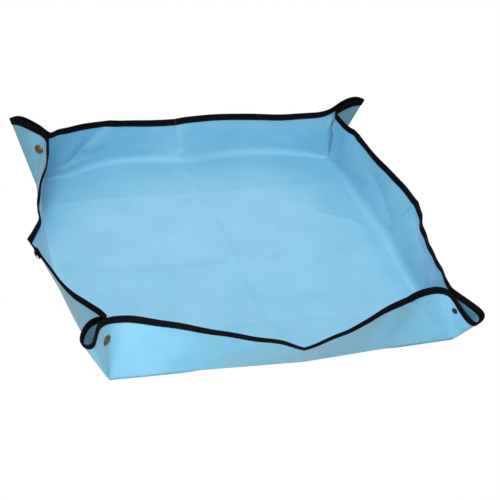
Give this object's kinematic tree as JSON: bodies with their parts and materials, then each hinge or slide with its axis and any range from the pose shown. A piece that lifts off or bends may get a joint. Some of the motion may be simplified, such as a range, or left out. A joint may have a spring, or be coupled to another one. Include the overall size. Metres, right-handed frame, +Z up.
{
  "type": "repotting tray",
  "caption": "Square repotting mat of coated cloth with a bound rim, its corners pinched and held by press studs so that it stands up as a shallow tray.",
  "frame": {"origin": "middle of the floor, on the surface that the tray rests on", "axes": "+Z up out of the tray, -Y towards the front side, +X towards the right side"},
  "size_m": [0.6112, 0.6197, 0.1069],
  "materials": {
    "cloth": "waterproof coating, satin",
    "tape": "woven edge binding, matt",
    "brass": "antique brass, dull",
    "spring_wire": "drawn wire"
  },
  "bodies": {
    "root": {"floor": "cloth", "front_wall": "cloth", "right_wall": "cloth", "back_wall": "cloth", "left_wall": "cloth", "side_binding": "tape"},
    "front_left_front_wall_end": {"front_left_front_wall_end": "cloth", "front_left_front_wall_end_binding": "tape"},
    "front_left_front_ear": {"front_left_front_ear": "cloth", "front_left_front_ear_binding": "tape", "front_left_cap": "brass", "front_left_socket": "brass", "front_left_spring": "spring_wire"},
    "front_left_left_wall_end": {"front_left_left_wall_end": "cloth", "front_left_left_wall_end_binding": "tape"},
    "front_left_left_ear": {"front_left_left_ear": "cloth", "front_left_left_ear_binding": "tape", "front_left_stud": "brass", "front_left_post": "brass"},
    "front_right_front_wall_end": {"front_right_front_wall_end": "cloth", "front_right_front_wall_end_binding": "tape"},
    "front_right_front_ear": {"front_right_front_ear": "cloth", "front_right_front_ear_binding": "tape", "front_right_stud": "brass", "front_right_post": "brass"},
    "front_right_right_wall_end": {"front_right_right_wall_end": "cloth", "front_right_right_wall_end_binding": "tape"},
    "front_right_right_ear": {"front_right_right_ear": "cloth", "front_right_right_ear_binding": "tape", "front_right_cap": "brass", "front_right_socket": "brass", "front_right_spring": "spring_wire"},
    "back_right_back_wall_end": {"back_right_back_wall_end": "cloth", "back_right_back_wall_end_binding": "tape"},
    "back_right_back_ear": {"back_right_back_ear": "cloth", "back_right_back_ear_binding": "tape", "back_right_cap": "brass", "back_right_socket": "brass", "back_right_spring": "spring_wire"},
    "back_right_right_wall_end": {"back_right_right_wall_end": "cloth", "back_right_right_wall_end_binding": "tape"},
    "back_right_right_ear": {"back_right_right_ear": "cloth", "back_right_right_ear_binding": "tape", "back_right_stud": "brass", "back_right_post": "brass"},
    "back_left_back_wall_end": {"back_left_back_wall_end": "cloth", "back_left_back_wall_end_binding": "tape"},
    "back_left_back_ear": {"back_left_back_ear": "cloth", "back_left_back_ear_binding": "tape", "back_left_stud": "brass", "back_left_post": "brass"},
    "back_left_left_wall_end": {"back_left_left_wall_end": "cloth", "back_left_left_wall_end_binding": "tape"},
    "back_left_left_ear": {"back_left_left_ear": "cloth", "back_left_left_ear_binding": "tape", "back_left_cap": "brass", "back_left_socket": "brass", "back_left_spring": "spring_wire"}
  },
  "joints": [
    {"name": "front_left_front_fold", "type": "hinge", "parent": "root", "child": "front_left_front_wall_end", "pos_m": [-0.234, -0.234, 0.0008], "axis": [0.9979, -0.064, 0], "range_deg": [0, 79.06]},
    {"name": "front_left_front_ear_fold", "type": "hinge", "parent": "front_left_front_wall_end", "child": "front_left_front_ear", "pos_m": [-0.23309, -0.23479, 0.0008], "axis": [0.0752, -0.0454, -0.9961], "range_deg": [0, 64.2]},
    {"name": "front_left_left_fold", "type": "hinge", "parent": "root", "child": "front_left_left_wall_end", "pos_m": [-0.234, -0.234, 0.0008], "axis": [0.1665, -0.986, 0], "range_deg": [0, 73.8]},
    {"name": "front_left_left_ear_fold", "type": "hinge", "parent": "front_left_left_wall_end", "child": "front_left_left_ear", "pos_m": [-0.23491, -0.23321, 0.0008], "axis": [0.0608, -0.0785, 0.9951], "range_deg": [0, 55.59]},
    {"name": "front_right_front_fold", "type": "hinge", "parent": "root", "child": "front_right_front_wall_end", "pos_m": [0.252, -0.252, 0.0008], "axis": [1, -0.005, 0], "range_deg": [0, 85.84]},
    {"name": "front_right_front_ear_fold", "type": "hinge", "parent": "front_right_front_wall_end", "child": "front_right_front_ear", "pos_m": [0.2505, -0.253, 0.00072], "axis": [-0.0963, 0.2687, 0.9584], "range_deg": [0, 67.77]},
    {"name": "front_right_right_fold", "type": "hinge", "parent": "root", "child": "front_right_right_wall_end", "pos_m": [0.252, -0.252, 0.0008], "axis": [-0.0279, 0.9996, 0], "range_deg": [0, 89.9]},
    {"name": "front_right_right_ear_fold", "type": "hinge", "parent": "front_right_right_wall_end", "child": "front_right_right_ear", "pos_m": [0.2535, -0.251, 0.00088], "axis": [0.3288, -0.0959, -0.9395], "range_deg": [0, 47.83]},
    {"name": "back_right_back_fold", "type": "hinge", "parent": "root", "child": "back_right_back_wall_end", "pos_m": [0.244, 0.244, 0.0008], "axis": [-0.9855, 0.1698, 0], "range_deg": [0, 80.88]},
    {"name": "back_right_back_ear_fold", "type": "hinge", "parent": "back_right_back_wall_end", "child": "back_right_back_ear", "pos_m": [0.24372, 0.24498, 0.00083], "axis": [0.0338, 0.0286, -0.999], "range_deg": [0, 42.17]},
    {"name": "back_right_right_fold", "type": "hinge", "parent": "root", "child": "back_right_right_wall_end", "pos_m": [0.244, 0.244, 0.0008], "axis": [-0.0981, 0.9952, 0], "range_deg": [0, 83.1]},
    {"name": "back_right_right_ear_fold", "type": "hinge", "parent": "back_right_right_wall_end", "child": "back_right_right_ear", "pos_m": [0.24446, 0.24335, 0.00078], "axis": [-0.0382, -0.0701, 0.9968], "range_deg": [0, 81.12]},
    {"name": "back_left_back_fold", "type": "hinge", "parent": "root", "child": "back_left_back_wall_end", "pos_m": [-0.254, 0.254, 0.0008], "axis": [-0.9854, -0.1701, 0], "range_deg": [0, 80.71]},
    {"name": "back_left_back_ear_fold", "type": "hinge", "parent": "back_left_back_wall_end", "child": "back_left_back_ear", "pos_m": [-0.25323, 0.2548, 0.0008], "axis": [0.1855, -0.1506, 0.971], "range_deg": [0, 69.79]},
    {"name": "back_left_left_fold", "type": "hinge", "parent": "root", "child": "back_left_left_wall_end", "pos_m": [-0.254, 0.254, 0.0008], "axis": [-0.081, -0.9967, 0], "range_deg": [0, 90.19]},
    {"name": "back_left_left_ear_fold", "type": "hinge", "parent": "back_left_left_wall_end", "child": "back_left_left_ear", "pos_m": [-0.25495, 0.25339, 0.00086], "axis": [-0.1495, 0.177, -0.9728], "range_deg": [0, 64.14]}
  ],
  "couplings": [
    {"joint": "front_left_front_ear_fold", "follows": "front_left_front_fold", "ratio": 0.81184},
    {"joint": "front_left_left_fold", "follows": "front_left_front_fold", "ratio": 0.93331},
    {"joint": "front_left_left_ear_fold", "follows": "front_left_front_fold", "ratio": 0.7029},
    {"joint": "front_right_front_ear_fold", "follows": "front_right_front_fold", "ratio": 0.78933},
    {"joint": "front_right_right_fold", "follows": "front_right_front_fold", "ratio": 1.0473},
    {"joint": "front_right_right_ear_fold", "follows": "front_right_front_fold", "ratio": 0.55712},
    {"joint": "back_right_back_ear_fold", "follows": "back_right_back_fold", "ratio": 0.52125},
    {"joint": "back_right_right_fold", "follows": "back_right_back_fold", "ratio": 1.0274},
    {"joint": "back_right_right_ear_fold", "follows": "back_right_back_fold", "ratio": 1.0029},
    {"joint": "back_left_back_ear_fold", "follows": "back_left_back_fold", "ratio": 0.86462},
    {"joint": "back_left_left_fold", "follows": "back_left_back_fold", "ratio": 1.1173},
    {"joint": "back_left_left_ear_fold", "follows": "back_left_back_fold", "ratio": 0.7945}
  ]
}
